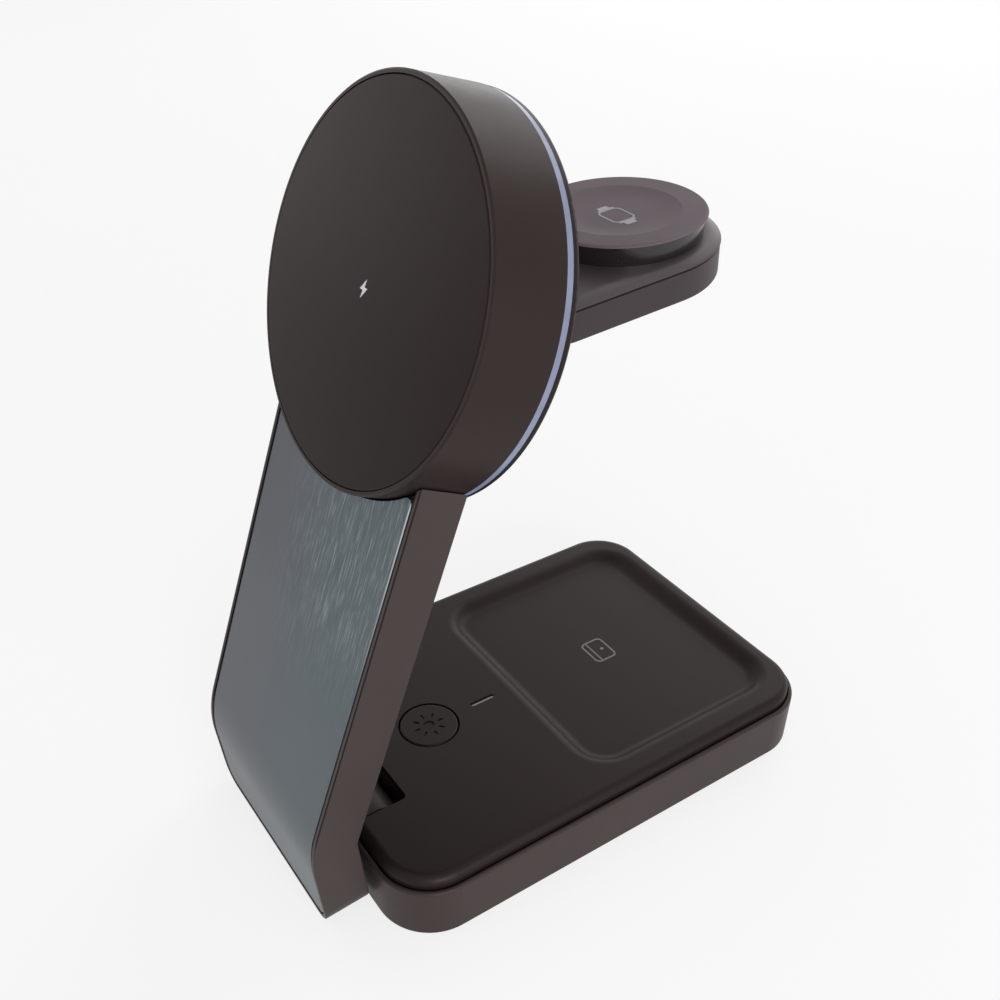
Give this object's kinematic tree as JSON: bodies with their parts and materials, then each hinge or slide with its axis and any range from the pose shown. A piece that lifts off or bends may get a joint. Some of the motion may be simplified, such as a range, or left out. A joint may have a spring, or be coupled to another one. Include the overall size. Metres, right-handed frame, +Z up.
{
  "type": "three in one wireless charger",
  "caption": "Charging stand with a bent arm and round phone head, a folding watch arm with a puck, and a flat base with an earbud dish, light button and hinge notch.",
  "frame": {"origin": "centre of the base's foot pad, on the table", "axes": "+Z up, +Y from the arm to the base's far end, +X to the right of someone who faces the phone head"},
  "size_m": [0.0754, 0.1178, 0.1461],
  "materials": {
    "base_plastic": "satin moulded, warm black",
    "arm_plastic": "satin moulded, warm dark grey",
    "head_plastic": "satin moulded, warm black",
    "brushed_panel": "brushed along the arm, slate tint",
    "light_ring": "translucent, pale",
    "gloss_black": "gloss moulded",
    "puck_top": "matte soft coat",
    "foot_rubber": "matte",
    "steel": "plated",
    "board": "glass-filled board",
    "chip": "moulded",
    "copper": "wound copper wire",
    "ferrite": "pressed ferrite",
    "magnet": "plated magnet",
    "clear_lens": "clear moulded",
    "led": "moulded"
  },
  "bodies": {
    "base": {"base_tray": "base_plastic", "base_cover": "base_plastic", "foot_pad": "foot_rubber", "counterweight": "steel", "main_board": "board", "board_chips": "chip", "charging_port_shell": "steel", "charging_port_tongue": "chip", "earbud_coil": "copper", "earbud_ferrite": "ferrite", "switch_body": "chip", "indicator_lens": "clear_lens", "indicator_led": "led", "hinge_pin": "steel", "hinge_washers": "steel", "base_screws": "steel"},
    "button": {"light_button": "base_plastic", "switch_plunger": "chip"},
    "arm": {"arm_frame": "arm_plastic", "arm_panel": "brushed_panel", "head_housing": "head_plastic", "head_face": "head_plastic", "light_ring": "light_ring", "head_back_plate": "head_plastic", "magnet_ring": "magnet", "phone_coil": "copper", "phone_ferrite": "ferrite", "head_shield": "steel", "head_board": "board", "ring_leds": "led", "head_screws": "steel", "watch_hinge_pin": "steel", "watch_hinge_washers": "steel"},
    "watch_arm": {"watch_arm_lower": "base_plastic", "watch_arm_upper": "base_plastic", "watch_puck_body": "gloss_black", "watch_puck_top": "puck_top", "watch_coil": "copper", "watch_ferrite": "ferrite", "watch_magnet": "magnet", "watch_board": "board"}
  },
  "joints": [
    {"name": "arm_fold", "type": "hinge", "parent": "base", "child": "arm", "pos_m": [0, -0.04615, 0.0083], "axis": [-1, 0, 0], "range_deg": [0, 60]},
    {"name": "watch_fold", "type": "hinge", "parent": "arm", "child": "watch_arm", "pos_m": [0, -0.01558, 0.10878], "axis": [-1, 0, 0], "range_deg": [0, 113.9]},
    {"name": "button_press", "type": "slide", "parent": "base", "child": "button", "axis": [0, 0, -1], "range_m": [0, 0.0005], "stiffness_N_per_m": 700, "springref_m": -0.001}
  ]
}
